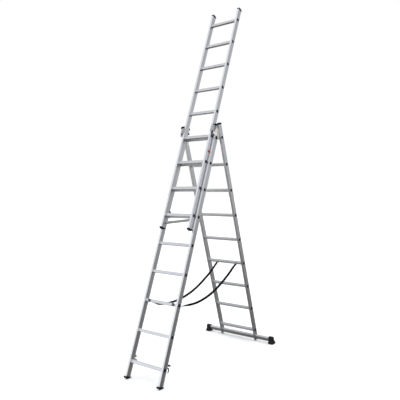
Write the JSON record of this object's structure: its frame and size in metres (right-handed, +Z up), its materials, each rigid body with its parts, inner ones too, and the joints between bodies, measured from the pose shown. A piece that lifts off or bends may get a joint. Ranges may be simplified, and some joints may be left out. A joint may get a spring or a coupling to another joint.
{
  "type": "combination ladder",
  "caption": "Free-standing aluminium combination ladder: hinged front and rear sections, a raised sliding extension, straps and a stabiliser bar.",
  "frame": {"origin": "on the floor, at the middle of the footprint of the standing ladder", "axes": "+Z up, +X along the rungs, +Y from the climbing side to the back"},
  "size_m": [0.904, 1.7255, 3.7123],
  "materials": {
    "stile_aluminium": "extruded mill finish, fine lengthwise drawing lines",
    "rung_aluminium": "extruded mill finish with ribbed treads",
    "plate_aluminium": "satin sheet",
    "steel_dark": "black coated steel, slightly worn",
    "steel_zinc": "zinc plated strip",
    "plastic_black": "moulded, fine grain",
    "rubber_black": "moulded matt rubber",
    "webbing_black": "woven polyester webbing",
    "stud_red": "moulded, glossy"
  },
  "bodies": {
    "front_section": {"front_stile_left": "stile_aluminium", "front_cap_left": "plastic_black", "front_foot_left": "rubber_black", "front_hook_left": "steel_dark", "front_stile_right": "stile_aluminium", "front_cap_right": "plastic_black", "front_foot_right": "rubber_black", "front_hook_right": "steel_dark", "front_rung_1": "rung_aluminium", "front_rung_2": "rung_aluminium", "front_rung_3": "rung_aluminium", "front_rung_4": "rung_aluminium", "front_rung_5": "rung_aluminium", "front_rung_6": "rung_aluminium", "front_rung_7": "rung_aluminium", "front_rung_8": "rung_aluminium", "front_rung_9": "rung_aluminium", "guide_bracket_left": "plate_aluminium", "pivot_bolt_left": "steel_dark", "strap_left": "webbing_black", "guide_bracket_right": "plate_aluminium", "pivot_bolt_right": "steel_dark", "strap_right": "webbing_black"},
    "rear_section": {"rear_stile_left": "stile_aluminium", "rear_cap_left": "plastic_black", "rear_stile_right": "stile_aluminium", "rear_cap_right": "plastic_black", "rear_rung_1": "rung_aluminium", "rear_rung_2": "rung_aluminium", "rear_rung_3": "rung_aluminium", "rear_rung_4": "rung_aluminium", "rear_rung_5": "rung_aluminium", "rear_rung_6": "rung_aluminium", "rear_rung_7": "rung_aluminium", "rear_rung_8": "rung_aluminium", "rear_rung_9": "rung_aluminium", "hinge_plate_left": "plate_aluminium", "stabiliser_shoe_left": "rubber_black", "hinge_plate_right": "plate_aluminium", "stabiliser_shoe_right": "rubber_black", "stabiliser_tube": "stile_aluminium"},
    "extension_section": {"extension_stile_left": "stile_aluminium", "extension_cap_left": "plastic_black", "extension_foot_left": "rubber_black", "extension_hook_left": "steel_dark", "extension_stile_right": "stile_aluminium", "extension_cap_right": "plastic_black", "extension_foot_right": "rubber_black", "extension_hook_right": "steel_dark", "extension_rung_1": "rung_aluminium", "extension_rung_2": "rung_aluminium", "extension_rung_3": "rung_aluminium", "extension_rung_4": "rung_aluminium", "extension_rung_5": "rung_aluminium", "extension_rung_6": "rung_aluminium", "extension_rung_7": "rung_aluminium", "extension_rung_8": "rung_aluminium", "extension_rung_9": "rung_aluminium"},
    "lock_bar": {"lock_bar": "steel_zinc"}
  },
  "joints": [
    {"name": "rear_fold", "type": "hinge", "parent": "front_section", "child": "rear_section", "pos_m": [0, 0.04719, 2.266], "axis": [1, 0, 0], "range_deg": [-38.1, 0], "deforming": ["strap_left", "strap_right"]},
    {"name": "extension_slide", "type": "slide", "parent": "front_section", "child": "extension_section", "axis": [0, 0.3513, 0.9362], "range_m": [-1.4, 0]},
    {"name": "lock_bar_swing", "type": "hinge", "parent": "extension_section", "child": "lock_bar", "pos_m": [-0.144, -0.33089, 1.39383], "axis": [0, 0.9362, -0.3513], "range_deg": [0, 70]}
  ]
}
